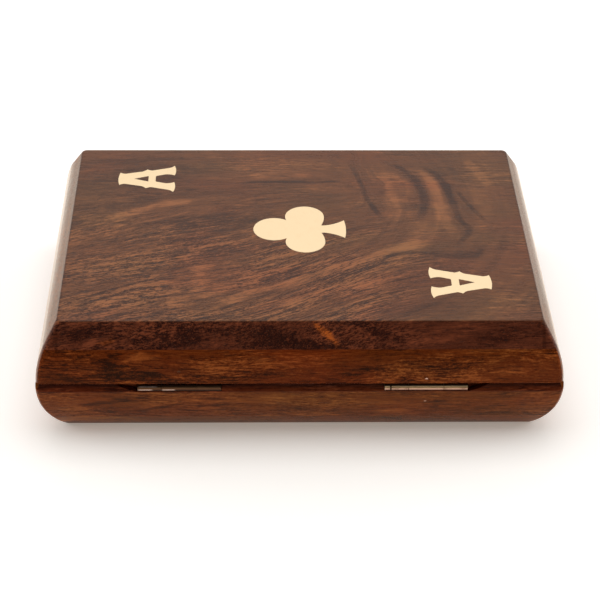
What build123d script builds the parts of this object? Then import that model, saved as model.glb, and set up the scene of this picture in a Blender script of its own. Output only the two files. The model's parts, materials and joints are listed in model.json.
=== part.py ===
from build123d import *
import os
from math import radians, sqrt, tan

# A hinged wooden box for two decks of playing cards, with brass inlays in its lid.
# All sizes are in millimetres. The origin is the centre of the underside, +Z points up,
# the hinged back is at -Y and the side that opens is at +Y.

os.makedirs("parts", exist_ok=True)

# The outer form: one profile runs round all four sides of the lid and of the base.
box_length = 150.0
box_depth = 110.0
box_height = 36.4
belly_height = 18.2
belly_radius = 27.4
seam_height = 19.0
chamfer_run = 4.1
corner_softening = 2.0
base_corner_softening = 1.0
top_edge_softening = 0.5
seam_arris = 0.3

# The wood that the lid and the base are glued up from.
wall = 7.5
bottom_board_thickness = 5.2
top_board_thickness = 7.0

# The partition between the two decks, with a scoop for a finger and a thumb.
divider_thickness = 5.0
divider_below_seam = 0.8
divider_housing_depth = 1.5
divider_clearance = 0.05
scoop_radius = 16.0
scoop_depth = 8.0
scoop_edge_softening = 1.2

# Felt linings.
felt_thickness = 0.8
felt_edge_clearance = 0.3

# The thumb dish in the front, which crosses the seam.
dish_radius = 13.0
dish_depth = 2.4

# Two butt hinges, set a little to the right. Their leaves stand in saw kerfs in the back rails.
hinge_spacing = 70.0
hinge_shift = 0.7
hinge_length = 23.6
centre_knuckle = 10.0
knuckle_gap = 0.12
leaf_thickness = 0.65
leaf_below_glue_line = 2.8
leaf_corner = 0.8
pin_diameter = 1.0
pin_clearance = 0.05
pin_end_chamfer = 0.2
roll_slit = 0.15
axis_inset = 0.9
barrel_top_clearance = 0.1
kerf_clearance = 0.05
kerf_end_clearance = 0.2
barrel_seat_clearance = 0.15

# The relief on the base's back edge, which lets the lid swing past upright and stops it.
stop_angle = 110.6
relief_run = 1.4
gouge_length = 7.5
gouge_sag = 0.3

# Headless pins that hold the leaves in their kerfs, each at a ratio of the leaf's reach.
lid_nail_ratios = {"left": 0.53, "right": 0.21}
base_nail_ratios = {"left": 0.83, "right": 0.83}
nail_diameter = 1.0
nail_length = 6.0
nail_clearance = 0.01

# Brass inlays, let in flush with the top of the lid.
inlay_depth = 1.5
inlay_clearance = 0.06
letter_inset = (28.2, 25.4)
letter_height = 18.0
letter_shift = 0.5
club_offset = (0.0, 0.1)
club_length = 28.0

# Sizes that follow from those above.
glue_line = box_height - top_board_thickness
leaf_reach = glue_line - seam_height - leaf_below_glue_line
inner_length = box_length - 2 * wall
inner_depth = box_depth - 2 * wall
divider_top = seam_height - divider_below_seam
corner_flat = (2 - sqrt(2)) * base_corner_softening
knuckle_radius = pin_diameter / 2 + pin_clearance + leaf_thickness
axis_below_seam = knuckle_radius + barrel_top_clearance
axis_y = axis_inset - box_depth / 2
axis_z = seam_height - axis_below_seam
relief_drop = axis_below_seam + axis_inset * tan(radians(stop_angle / 2))
hinge_places = {
    "left": hinge_shift - hinge_spacing / 2,
    "right": hinge_shift + hinge_spacing / 2,
}
leaf_foot = knuckle_radius + barrel_top_clearance
beyond = box_length + box_depth


def save(shape, node):
    """Writes one node's solid, or its group of solids, to a file of its own."""
    shape.label = node
    export_step(shape, f"parts/{node}.step")
    print(f"{node}: {len(shape.solids())} solid(s), {shape.volume:.1f} mm3")


def block(x_span, y_span, z_span):
    """A plain block between pairs of coordinates."""
    spans = (x_span, y_span, z_span)
    centre = [(low + high) / 2 for low, high in spans]
    return Pos(*centre) * Box(*[high - low for low, high in spans])


def layer(low, high):
    """Everything that lies between two heights."""
    return block((-beyond, beyond), (-beyond, beyond), (low, high))


# The outer form


def flank_inset(height):
    """How far the curved side lies inside its widest line at a height."""
    return belly_radius - sqrt(belly_radius**2 - (height - belly_height) ** 2)


def flank(width, low, high):
    """The curved edge of one side between two heights."""
    levels = (low, (low + high) / 2, high)
    return ThreePointArc(*[(width / 2 - flank_inset(z), z) for z in levels])


def closed_section(right_side):
    """The face between a right-hand edge, drawn from bottom to top, and its mirror image."""
    outline = Curve() + right_side
    outline += mirror(outline, Plane.YZ)
    for end in (right_side[0] @ 0, right_side[-1] @ 1):
        outline += Line((-end.X, end.Y), (end.X, end.Y))
    return make_face(outline)


def base_section(width):
    """The base cut through from side to side."""
    return closed_section([flank(width, 0, seam_height)])


def lid_frame_section(width):
    """The frame of the lid cut through."""
    return closed_section([flank(width, seam_height, glue_line)])


def top_board_section(width):
    """The lid's board cut through: a chamfer that carries on from the frame."""
    foot = flank(width, seam_height, glue_line) @ 1
    return closed_section([Line(foot, foot + Vector(-chamfer_run, top_board_thickness))])


def edges_at(form, height):
    """The edges of a form that lie flat at one height."""

    def is_level(edge):
        box = edge.bounding_box()
        return max(abs(box.min.Z - height), abs(box.max.Z - height)) < seam_arris / 10

    return form.edges().filter_by(is_level)


def moulded(section):
    """The form that a section gives when it runs round all four sides."""
    lengthwise = extrude(Plane.XZ * section(box_length), box_depth, both=True)
    crosswise = extrude(Plane.YZ * section(box_depth), box_length, both=True)
    return lengthwise & crosswise


def mitre_edges(form):
    """The edges where two sides of a form meet at a corner."""
    return form.edges().filter_by(lambda edge: abs((edge @ 0).Z - (edge @ 1).Z) > seam_arris)


def quarter(side):
    """The wedge that one mitred rail of a frame lies in, seen from above."""
    length, depth, reach = box_length / 2, box_depth / 2, 2 * wall
    outer = [(-length - reach, -depth - reach), (length + reach, -depth - reach)]
    inner = [(length - reach, -depth + reach), (-length + reach, -depth + reach)]
    if side in ("left", "right"):
        outer = [(-length - reach, depth + reach), (-length - reach, -depth - reach)]
        inner = [(-length + reach, -depth + reach), (-length + reach, depth - reach)]
    wedge = extrude(make_face(Polyline(*outer, *inner, close=True)), box_height)
    turned = side in ("front", "right")
    return Rot(0, 0, 180) * wedge if turned else wedge


def mitred_frame(form, low, high):
    """Four rails, mitred at the corners, from the part of a form between two heights."""
    hollow = Pos(0, 0, (low + high) / 2) * Box(inner_length, inner_depth, high - low)
    ring = (form & layer(low, high)) - hollow
    return {side: ring & quarter(side) for side in ("back", "front", "left", "right")}


# The lid's corners are rounded. The base's are crisper, with a narrow flat planed on them.
lid_form = moulded(lid_frame_section)
lid_form = fillet(mitre_edges(lid_form), corner_softening)
lid_form = chamfer(edges_at(lid_form, seam_height), seam_arris)
top_board = moulded(top_board_section)
top_board = fillet(mitre_edges(top_board), corner_softening)
top_board = fillet(edges_at(top_board, box_height), top_edge_softening)
base_form = moulded(base_section)
base_form = chamfer(mitre_edges(base_form), corner_flat)
base_form = chamfer(edges_at(base_form, seam_height), seam_arris)
bottom_board = base_form & layer(0, bottom_board_thickness)
base_rails = mitred_frame(base_form, bottom_board_thickness, seam_height)
lid_rails = mitred_frame(lid_form, seam_height, glue_line)


# The partition


def divider_body(clearance):
    """The partition's block with its ends in their housings, or the space cut for it."""
    half_length = inner_depth / 2 + divider_housing_depth - divider_clearance + clearance
    half_width = divider_thickness / 2 + clearance
    return block(
        (-half_width, half_width),
        (-half_length, half_length),
        (bottom_board_thickness, divider_top),
    )


scoop_centre = divider_top - scoop_depth + scoop_radius
scoop = Pos(0, 0, scoop_centre) * Rot(0, 90, 0) * Cylinder(scoop_radius, box_length)
divider = divider_body(0) - scoop
scoop_ends = divider.edges().filter_by(Axis.X).group_by(Axis.Z)[-1].sort_by(Axis.Y)[1:-1]
divider = fillet(scoop_ends, scoop_edge_softening)
for side in ("back", "front"):
    base_rails[side] -= divider_body(divider_clearance)


# The linings


def felt_panel(length, depth, low):
    """A felt rectangle that clears the wood round it by a small gap."""
    gap = 2 * felt_edge_clearance
    return Pos(0, 0, low + felt_thickness / 2) * Box(length - gap, depth - gap, felt_thickness)


compartment_length = (inner_length - divider_thickness) / 2
compartment_centre = (divider_thickness + compartment_length) / 2
compartment_felt = felt_panel(compartment_length, inner_depth, bottom_board_thickness)
lid_felt = felt_panel(inner_length, inner_depth, glue_line - felt_thickness)


# The hinges, drawn in their own section: y to the inside, z up, origin on the axis


def hinge_slice(section, low, high):
    """A hinge section in the YZ plane, carried along the axis between two places."""
    return Pos(low, 0, 0) * extrude(Plane.YZ * section, high - low)


def span(low, high, bottom, top):
    """A rectangle between two pairs of coordinates."""
    return Pos((low + high) / 2, (bottom + top) / 2) * Rectangle(high - low, top - bottom)


def rolled_knuckle():
    """The eye that is rolled from the leaf's end, with the slit where the roll comes round."""
    bore_radius = knuckle_radius - leaf_thickness
    neck = span(bore_radius, knuckle_radius, 0, leaf_foot)
    slit = span(bore_radius - roll_slit, bore_radius, 0, leaf_foot)
    return Circle(knuckle_radius) + neck - Circle(bore_radius) - slit


def leaf(reach, knuckles):
    """A leaf that stands up from the axis, with a rolled knuckle over each stretch given."""
    inner_face = knuckle_radius
    plate = block(
        (-hinge_length / 2, hinge_length / 2),
        (inner_face - leaf_thickness, inner_face),
        (leaf_foot, reach),
    )
    plate = fillet(plate.edges().filter_by(Axis.Y).group_by(Axis.Z)[-1], leaf_corner)
    for low, high in knuckles:
        plate += hinge_slice(rolled_knuckle(), low, high)
    return plate


def kerf(reach):
    """The saw kerf that a leaf stands in, from the axis up."""
    half = hinge_length / 2 + kerf_clearance
    inner_face = knuckle_radius
    y_span = (inner_face - leaf_thickness - kerf_clearance, inner_face + kerf_clearance)
    return block((-half, half), y_span, (0, reach + kerf_end_clearance))


def barrel_seat():
    """The room for the barrel in the base's back edge, gouged out longer towards the end."""
    seat_radius = knuckle_radius + barrel_seat_clearance
    outside = -axis_inset - knuckle_radius
    start = hinge_length / 2 + barrel_seat_clearance
    section = Circle(seat_radius) + span(outside, seat_radius, 0, axis_below_seam)
    seat = hinge_slice(section, -start, start)
    deep, end = (start, -seat_radius), (start + gouge_length, axis_below_seam)
    middle = (start + gouge_length / 2, (axis_below_seam - seat_radius) / 2 - gouge_sag)
    sides = Line(end, (start, axis_below_seam)) + Line((start, axis_below_seam), deep)
    gouge = extrude(Plane.XZ * make_face(ThreePointArc(deep, middle, end) + sides), box_depth, both=True)
    return seat + (gouge & block((start, end[0]), (outside, seat_radius), (deep[1], end[1])))


def turned_over(shape):
    """The same shape upside down about the hinge axis."""
    return mirror(shape, Plane.XY)


def at_hinge(shape, side):
    """Moves a shape drawn about the axis to its hinge. The left one mirrors the right one."""
    if side == "left":
        shape = mirror(shape, Plane.YZ)
    return Pos(hinge_places[side], axis_y, axis_z) * shape


def nail(side, height, radius):
    """A headless pin driven in from the back, at a height above the floor."""
    back_face = flank_inset(height) - box_depth / 2
    middle = back_face + nail_length / 2
    return Pos(hinge_places[side], middle, height) * Rot(90, 0, 0) * Cylinder(radius, nail_length)


lid_reach = axis_below_seam + leaf_reach
centre_half = (centre_knuckle - knuckle_gap) / 2
outer_start = (centre_knuckle + knuckle_gap) / 2
lid_leaf = leaf(lid_reach, [(-centre_half, centre_half)])
outer_knuckles = [(-hinge_length / 2, -outer_start), (outer_start, hinge_length / 2)]
base_leaf = turned_over(leaf(leaf_reach, outer_knuckles))
hinge_pin = Rot(0, 90, 0) * Cylinder(pin_diameter / 2, hinge_length)
hinge_pin = chamfer(hinge_pin.edges().filter_by(GeomType.CIRCLE), pin_end_chamfer)

back = -box_depth / 2
relief_section = Polyline(
    (back, seam_height - relief_drop),
    (back + relief_run, seam_height),
    (back - relief_run, seam_height),
    (back - relief_run, seam_height - relief_drop),
    close=True,
)
relief = extrude(Plane.YZ * make_face(relief_section), box_length, both=True)
for side in ("back", "left", "right"):
    base_rails[side] -= relief

hole_radius = nail_diameter / 2 + nail_clearance
hinge_parts = {}
lid_nails = []
base_nails = []
for side in hinge_places:
    lid_height = seam_height + lid_nail_ratios[side] * leaf_reach
    base_height = seam_height - base_nail_ratios[side] * leaf_reach
    lid_hole = nail(side, lid_height, hole_radius)
    base_hole = nail(side, base_height, hole_radius)
    lid_rails["back"] -= at_hinge(kerf(lid_reach), side)
    lid_rails["back"] -= lid_hole
    base_rails["back"] -= at_hinge(turned_over(kerf(leaf_reach)), side)
    base_rails["back"] -= at_hinge(barrel_seat(), side)
    base_rails["back"] -= base_hole
    hinge_parts[f"hinge_{side}_lid_leaf"] = at_hinge(lid_leaf, side) - lid_hole
    hinge_parts[f"hinge_{side}_base_leaf"] = at_hinge(base_leaf, side) - base_hole
    hinge_parts[f"hinge_{side}_pin"] = at_hinge(hinge_pin, side)
    lid_nails.append(nail(side, lid_height, nail_diameter / 2) & lid_form)
    base_nails.append(nail(side, base_height, nail_diameter / 2) & base_form)


# The thumb dish

dish_centre = box_depth / 2 - dish_depth + dish_radius
dish = Pos(0, dish_centre, seam_height) * Sphere(dish_radius)
base_rails["front"] -= dish
lid_rails["front"] -= dish


# The inlays: each is drawn about its middle, with its top towards +X or -X, then sized


def fitted(figure, length):
    """A drawn figure, scaled to measure a length along X."""
    return scale(figure, length / figure.bounding_box().size.X)


def mirrored_outline(half):
    """The face between a line drawn from left to right and its mirror image in the X axis."""
    return make_face(half + mirror(half, Plane.XZ))


def rank_letter():
    """A slab-serif letter A with spurs at its waist and a small counter. Its top is at +X."""
    crown = [(9.0, 0.0), (8.85, 2.0), (8.5, 3.8)]
    crown_serif = [(8.5, 3.8), (7.6, 3.25), (6.8, 3.1)]
    spur_top = [(1.5, 4.5), (0.9, 4.95), (0.15, 5.8)]
    spur_foot = [(0.15, 5.8), (-0.7, 5.3), (-1.4, 5.1)]
    foot_serif = [(-6.7, 6.7), (-7.6, 7.2), (-8.4, 8.1)]
    foot_end = [(-8.4, 8.1), (-8.95, 5.2), (-8.6, 2.1)]
    foot_inside = [(-8.6, 2.1), (-7.3, 2.65), (-5.8, 2.75)]
    crotch = [(-3.3, 1.9), (-2.8, 1.6), (-2.7, 1.1)]
    arcs = [crown, crown_serif, spur_top, spur_foot, foot_serif, foot_end, foot_inside, crotch]
    half = Curve() + [ThreePointArc(*arc) for arc in arcs]
    half += [Line(crown_serif[-1], spur_top[0]), Line(spur_foot[-1], foot_serif[0])]
    half += [Line(foot_inside[-1], crotch[0]), Line(crotch[-1], (crotch[-1][0], 0))]
    counter = Polyline((-0.45, 1.7), (-0.45, -1.7), (4.1, 0), close=True)
    return fitted(mirrored_outline(half) - make_face(counter), letter_height)


def club_pip():
    """A club: three round lobes and a flared stem. Its head points towards -X."""
    head_centre, head_radius = (-7.1, 0), 6.4
    lobe_centre, lobe_radius = (2.3, 7.25), 6.0
    cheek = [(lobe_centre[0] + lobe_radius, lobe_centre[1]), (8.05, 4.6), (7.3, 2.1)]
    flare = [(8.2, 2.05), (10.4, 2.65), (14.4, 5.1)]
    foot = [(14.4, 5.1), (14.75, 2.6), (14.85, 0)]
    half = Polyline(head_centre, lobe_centre, cheek[0]) + Line(cheek[-1], flare[0])
    half += [ThreePointArc(*arc) for arc in (cheek, flare, foot)]
    lobe = Pos(*lobe_centre) * Circle(lobe_radius)
    head = Pos(*head_centre) * Circle(head_radius)
    return fitted(mirrored_outline(half) + head + lobe + mirror(lobe, Plane.XZ), club_length)


def inlay(outline, centre, turn, clearance):
    """A brass figure, flush with the lid's top, or the pocket that it is let into."""
    if clearance:
        outline = offset(outline, clearance)
    placed = Pos(*centre, box_height) * Rot(0, 0, turn) * outline
    return extrude(placed, -inlay_depth)


letter_x = box_length / 2 - letter_inset[0]
letter_y = box_depth / 2 - letter_inset[1]
figures = {
    "inlay_letter_right": (rank_letter(), (letter_x, letter_shift - letter_y), 0),
    "inlay_letter_left": (rank_letter(), (-letter_x, letter_shift + letter_y), 180),
    "inlay_club": (club_pip(), club_offset, 0),
}
inlays = {}
for node, (outline, centre, turn) in figures.items():
    inlays[node] = inlay(outline, centre, turn, 0)
    top_board -= inlay(outline, centre, turn, inlay_clearance)


# The nodes

save(bottom_board, "base_bottom_board")
for side, rail in base_rails.items():
    save(rail, f"base_{side}_rail")
save(divider, "divider")
save(Pos(-compartment_centre, 0, 0) * compartment_felt, "felt_left_compartment")
save(Pos(compartment_centre, 0, 0) * compartment_felt, "felt_right_compartment")
save(top_board, "lid_top_board")
for side, rail in lid_rails.items():
    save(rail, f"lid_{side}_rail")
save(lid_felt, "felt_lid")
for node, figure in inlays.items():
    save(figure, node)
for node, piece in hinge_parts.items():
    save(piece, node)
save(Compound(children=lid_nails), "hinge_nails_lid")
save(Compound(children=base_nails), "hinge_nails_base")
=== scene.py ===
# %% [markdown]
# # A rosewood box for two decks of playing cards
#
# This notebook dresses a finished CAD model in Blender. The CAD part has 25 pieces: boards and
# mitred rails of rosewood, three brass inlays, two small hinges and three felt linings. Each
# already has its true size and its place, in metres, so nothing here moves or scales them. What
# is left is what the eye sees: the figure of the wood, the sheen of the wax, the nap of the
# felt, and a camera and light like a catalogue photograph's.

# %% Load the frame
import json
import math
import bmesh
import bpy
from mathutils import Matrix, Vector, noise


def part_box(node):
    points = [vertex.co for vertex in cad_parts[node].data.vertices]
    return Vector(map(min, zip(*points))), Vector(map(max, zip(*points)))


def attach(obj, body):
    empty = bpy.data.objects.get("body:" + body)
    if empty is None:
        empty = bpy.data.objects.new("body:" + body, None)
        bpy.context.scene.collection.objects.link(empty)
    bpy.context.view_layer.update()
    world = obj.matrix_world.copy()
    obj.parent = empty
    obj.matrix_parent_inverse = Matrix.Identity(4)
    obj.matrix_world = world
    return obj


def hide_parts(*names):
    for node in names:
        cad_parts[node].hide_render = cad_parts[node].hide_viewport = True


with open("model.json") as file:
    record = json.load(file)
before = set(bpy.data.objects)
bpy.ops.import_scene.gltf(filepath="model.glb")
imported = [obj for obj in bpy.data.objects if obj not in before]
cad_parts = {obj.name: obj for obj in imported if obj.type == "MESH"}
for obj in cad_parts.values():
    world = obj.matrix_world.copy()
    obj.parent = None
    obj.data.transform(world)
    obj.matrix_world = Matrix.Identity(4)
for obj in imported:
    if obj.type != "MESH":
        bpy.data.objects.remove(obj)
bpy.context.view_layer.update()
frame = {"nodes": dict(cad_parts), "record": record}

print("pieces in the frame:", len(frame["nodes"]))

# %% [markdown]
# ## The camera
#
# The box is seen from its hinged side, a little from the left, looking down at about 34 degrees
# through a long lens. A camera could be aimed with a constraint, but then its roll is lost. Here
# its three axes are written out, so the horizon tips by the same small angle as in the
# photograph.

# %% Camera
focal_pixels, picture_pixels, sensor_mm = 1864, 600, 36.0
camera_place = (-0.012479, -0.478296, 0.334737)
forward = Vector((0.02344522, 0.82755034, -0.56090174))
right = Vector((0.99972386, -0.02029844, 0.01183945))
up = right.cross(forward)
camera_data = bpy.data.cameras.new("catalogue_camera")
camera_data.sensor_width = sensor_mm
camera_data.lens = sensor_mm * focal_pixels / picture_pixels
camera_data.clip_start = 0.01
camera = bpy.data.objects.new("catalogue_camera", camera_data)
bpy.context.scene.collection.objects.link(camera)
axes = Matrix((right, up, -forward)).transposed().to_4x4()
camera.matrix_world = Matrix.Translation(camera_place) @ axes
bpy.context.scene.camera = camera
print("lens in mm:", round(camera_data.lens, 1))

# %% [markdown]
# ## Small helpers for node trees
#
# A shader is a graph. Written out link by link it is long to read, so a few helpers place a
# node together with what feeds it. A value is set on a socket, and another node's output is
# linked to it.

# %% Placing and feeding a node
def feed(tree, socket, value):
    if isinstance(value, bpy.types.NodeSocket):
        tree.links.new(value, socket)
    else:
        socket.default_value = value


def feed_all(tree, node, inputs):
    for key, value in inputs.items():
        feed(tree, node.inputs[key], value)


def place(tree, kind, inputs, **settings):
    node = tree.nodes.new(kind)
    for name, value in settings.items():
        setattr(node, name, value)
    feed_all(tree, node, inputs)
    return node


print("helpers: feed, feed_all, place")

# %% [markdown]
# Most of a procedural material is arithmetic on patterns. With one function for each kind of node
# it reads like a formula. smooth_step turns the stretch between two edges into a soft mask, and
# with its edges the other way round the mask runs down instead of up. A noise lies round one
# half, so swing turns it into a swing round zero.

# %% Arithmetic on patterns
def calc(tree, operation, *values):
    node = place(tree, "ShaderNodeMath", {}, operation=operation)
    for socket, value in zip(node.inputs, values):
        feed(tree, socket, value)
    return node.outputs[0]


def plus(tree, first, second):
    return calc(tree, "ADD", first, second)


def minus(tree, first, second):
    return calc(tree, "SUBTRACT", first, second)


def times(tree, first, second):
    return calc(tree, "MULTIPLY", first, second)


def vector_calc(tree, operation, *values):
    node = place(tree, "ShaderNodeVectorMath", {}, operation=operation)
    for socket, value in zip(node.inputs, values):
        feed(tree, socket, value)
    gives_number = operation in ("LENGTH", "DISTANCE")
    return node.outputs["Value" if gives_number else "Vector"]


def smooth_step(tree, value, low, high, out_low=0.0, out_high=1.0):
    inputs = {"Value": value, "From Min": low, "From Max": high,
              "To Min": out_low, "To Max": out_high}
    node = place(tree, "ShaderNodeMapRange", inputs, interpolation_type="SMOOTHSTEP")
    return node.outputs[0]


def swing(tree, pattern, amount):
    return times(tree, minus(tree, pattern, 0.5), amount)


print("helpers: calc, plus, minus, times, vector_calc, smooth_step, swing")

# %% [markdown]
# A pattern that several materials share is built once, as a node group with named inputs, and
# placed in each with its own values. Pasting the same nodes into every material would work too,
# but then a change has to be made in each of them.

# %% Colour, noise and groups
def mix_colour(tree, factor, first, second, blend="MIX"):
    node = place(tree, "ShaderNodeMix", {0: factor, 6: first, 7: second},
                 data_type="RGBA", blend_type=blend)
    return node.outputs[2]


def mix_number(tree, factor, first, second):
    return place(tree, "ShaderNodeMix", {0: factor, 2: first, 3: second}).outputs[0]


def split(tree, vector):
    return place(tree, "ShaderNodeSeparateXYZ", {"Vector": vector}).outputs


def join(tree, x, y, z=0.0):
    return place(tree, "ShaderNodeCombineXYZ", {"X": x, "Y": y, "Z": z}).outputs[0]


def noise_value(tree, vector, size, detail=2.0, roughness=0.5, distortion=0.0):
    inputs = {"Vector": vector, "Scale": size, "Detail": detail, "Roughness": roughness,
              "Distortion": distortion}
    return place(tree, "ShaderNodeTexNoise", inputs).outputs["Fac"]


def new_group(name, inputs, outputs):
    group = bpy.data.node_groups.new(name, "ShaderNodeTree")
    for label, kind, value in inputs:
        kind = f"NodeSocket{kind}"
        socket = group.interface.new_socket(label, in_out="INPUT", socket_type=kind)
        socket.default_value = value
    for label, kind in outputs:
        kind = f"NodeSocket{kind}"
        group.interface.new_socket(label, in_out="OUTPUT", socket_type=kind)
    start = group.nodes.new("NodeGroupInput")
    end = group.nodes.new("NodeGroupOutput")
    return group, start.outputs, end.inputs


def use_group(tree, group, inputs):
    return place(tree, "ShaderNodeGroup", inputs, node_tree=group).outputs


print("helpers: mix_colour, mix_number, split, join, noise_value, new_group, use_group")

# %% [markdown]
# ## Rosewood, part one: the way the grain runs
#
# A board is a slice through a trunk. Its lines are the growth rings, stretched along the trunk
# and wandering a little. So every wood here is made in a grain space: the first coordinate runs
# along the board's grain, and the other two run across it, all in millimetres. This group makes
# the lines wander, slowly along the grain and faster across it.

# %% Group: wandering grain
wander_group, given, out = new_group(
    "Wandering grain",
    [("Vector", "Vector", (0, 0, 0)), ("Wander", "Float", 4.0), ("Ripple", "Float", 0.6)],
    [("Vector", "Vector")],
)
tree = wander_group


def drift_of(tree, vector, stretch, scale, detail, amount):
    squeezed = vector_calc(tree, "MULTIPLY", vector, (stretch, 1.0, 1.0))
    inputs = {"Vector": squeezed, "Scale": scale, "Detail": detail}
    swirl = place(tree, "ShaderNodeTexNoise", inputs).outputs["Color"]
    centred = vector_calc(tree, "SUBTRACT", swirl, (0.5, 0.5, 0.5))
    inputs = {0: centred, "Scale": amount}
    return place(tree, "ShaderNodeVectorMath", inputs, operation="SCALE").outputs[0]


slow = drift_of(tree, given["Vector"], 0.45, 0.035, 1.0, given["Wander"])
quick = drift_of(tree, given["Vector"], 0.35, 0.20, 2.0, given["Ripple"])
across = vector_calc(tree, "MULTIPLY", vector_calc(tree, "ADD", slow, quick), (0.0, 2.0, 2.0))
feed(tree, out["Vector"], vector_calc(tree, "ADD", given["Vector"], across))
print("group:", wander_group.name)

# %% [markdown]
# ## Rosewood, part two: bands, streaks, fibres and pores
#
# Several sizes of detail lie on top of each other. Broad bands of dark heartwood are
# centimetres wide. Streaks are a few millimetres wide and run for several centimetres. Dashes
# are short and dark, where a vessel's resin stained the wood round it. Fibres are hair lines.
# Pores are the open vessels of the tree, cut lengthwise, and look like fine scratches two or
# three millimetres long. Each is one noise, squeezed along the grain by its own amount.
# The broad bands have their own vector, because on a forked board they don't run the way its fine
# lines do.

# %% Group: rosewood figure
figure_group, given, out = new_group(
    "Rosewood figure",
    [
        ("Vector", "Vector", (0, 0, 0)),
        ("Band vector", "Vector", (0, 0, 0)),
        ("Band width", "Float", 9.0),
        ("Streak width", "Float", 1.8),
        ("Extra figure", "Float", 0.0),
        ("Contrast", "Float", 1.5),
        ("Fine contrast", "Float", 1.0),
        ("Mottle", "Float", 0.5),
        ("Ring lines", "Float", 0.35),
        ("Dash depth", "Float", 0.5),
        ("Hairlines", "Float", 0.5),
        ("Pore depth", "Float", 0.6),
        ("Glint speckle", "Float", 0.25),
        ("Hue drift", "Float", 0.5),
        ("Dark colour", "Color", (0.022, 0.007, 0.004, 1)),
        ("Body colour", "Color", (0.107, 0.034, 0.010, 1)),
        ("Bright colour", "Color", (0.270, 0.085, 0.022, 1)),
    ],
    [("Color", "Color"), ("Figure", "Float"), ("Pores", "Float"), ("Height", "Float")],
)
tree = figure_group
print("group:", figure_group.name)

# %% [markdown]
# The figure is a single number: low is dark heartwood and high is blond. Bands, streaks, fibres
# and a mottle add up to it, each by its own weight. The mottle breaks the fibres up where the
# grain twists. A slow noise makes the fine part stronger in some patches than in others, because
# real wood is never the same all over.

# %% The figure as one number
def along_grain(stretch, of="Vector"):
    return vector_calc(tree, "MULTIPLY", given[of], (stretch, 1.0, 1.0))


band_size = calc(tree, "DIVIDE", 1.0, given["Band width"])
streak_size = calc(tree, "DIVIDE", 1.0, given["Streak width"])
bands = noise_value(tree, along_grain(0.28, "Band vector"), band_size, 4.0, 0.6, 0.6)
streaks = noise_value(tree, along_grain(0.12), streak_size, 5.0, 0.65, 0.5)
fibres = noise_value(tree, along_grain(0.07), 2.2, 3.0, 0.7)
mottle = noise_value(tree, along_grain(0.40), 1.9, 4.0, 0.8)
fine = plus(tree, swing(tree, streaks, 0.48), swing(tree, fibres, 0.70))
fine = plus(tree, fine, swing(tree, mottle, given["Mottle"]))
patchy = noise_value(tree, along_grain(0.35), 0.085, 3.0, 0.55)
patchy = smooth_step(tree, patchy, 0.38, 0.62, 0.45, 1.45)
fine = times(tree, times(tree, fine, given["Fine contrast"]), patchy)
figure = plus(tree, swing(tree, bands, 0.75), fine)
figure = times(tree, figure, given["Contrast"])
figure = plus(tree, plus(tree, figure, 0.5), given["Extra figure"])
print("figure: bands, streaks, fibres, mottle")

# %% [markdown]
# Dashes, ring lines, hairlines and pores aren't part of that sum. They are thin and have clear
# edges, so each is a mask. A ring line lies where a slow noise crosses its middle value, which
# gives long thin contours like real growth rings. A pore is a stretched Voronoi cell's middle,
# and about two in five of the cells are left out.

# %% Thin lines and pores
dashes = noise_value(tree, along_grain(0.16), 1.1, 3.0, 0.6)
dashes = smooth_step(tree, dashes, 0.57, 0.70)
grouped = smooth_step(tree, noise_value(tree, along_grain(0.5), 0.11, 2.0), 0.42, 0.62)
dashes = times(tree, times(tree, dashes, grouped), given["Dash depth"])

rings = noise_value(tree, along_grain(0.13), 0.20, 3.0, 0.5)
rings = calc(tree, "ABSOLUTE", minus(tree, rings, 0.5))
rings = smooth_step(tree, rings, 0.016, 0.004)
rings = times(tree, rings, smooth_step(tree, streaks, 0.62, 0.46))
rings = times(tree, rings, given["Ring lines"])

hair = noise_value(tree, along_grain(0.055), 2.3, 2.0, 0.6)
dark_hair = times(tree, smooth_step(tree, hair, 0.57, 0.64), given["Hairlines"])
light_hair = times(tree, smooth_step(tree, hair, 0.42, 0.34), given["Hairlines"])

cell = vector_calc(tree, "MULTIPLY", given["Vector"], (0.26, 1.7, 1.7))
vessel = place(tree, "ShaderNodeTexVoronoi", {"Vector": cell, "Scale": 1.0})
chance = place(tree, "ShaderNodeSeparateColor", {"Color": vessel.outputs["Color"]}).outputs[0]
kept = smooth_step(tree, chance, 0.35, 0.45)
hole = smooth_step(tree, vessel.outputs["Distance"], 0.08, 0.24, 1.0, 0.0)
pores = times(tree, hole, kept)
print("masks: dashes, rings, hairlines, pores")

# %% [markdown]
# Three colours are laid along the figure, and the masks darken or lighten what is under them. A
# cloudy noise drifts the hue a little to red and to olive, as oil darkens one patch more than
# the next. The height is what a fingernail would feel: raised fibres, and sunken hairlines and
# pores.

# %% Colours and height of the wood
low = smooth_step(tree, figure, 0.0, 0.52)
high = smooth_step(tree, figure, 0.50, 1.05)
colour = mix_colour(tree, low, given["Dark colour"], given["Body colour"])
colour = mix_colour(tree, high, colour, given["Bright colour"])
colour = mix_colour(tree, dashes, colour, given["Dark colour"])
colour = mix_colour(tree, dark_hair, colour, given["Dark colour"])
colour = mix_colour(tree, rings, colour, given["Dark colour"])
light_hair = times(tree, light_hair, 0.45)
colour = mix_colour(tree, light_hair, colour, given["Bright colour"])
cloud = noise_value(tree, along_grain(0.5), 0.05, 2.0, 0.5)
redder = times(tree, smooth_step(tree, cloud, 0.50, 0.66), given["Hue drift"])
olive = times(tree, smooth_step(tree, cloud, 0.50, 0.34), given["Hue drift"])
colour = mix_colour(tree, redder, colour, (1.10, 0.86, 0.90, 1), "MULTIPLY")
colour = mix_colour(tree, olive, colour, (0.86, 1.06, 1.0, 1), "MULTIPLY")
# Painted glints: small dots of grit are lightened towards the bright colour, where pores would
# catch the light.
grit = noise_value(tree, along_grain(0.8), 3.4, 2.0, 0.7)
grit_glints = times(tree, smooth_step(tree, grit, 0.56, 0.72), given["Glint speckle"])
colour = mix_colour(tree, grit_glints, colour, given["Bright colour"])
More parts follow.
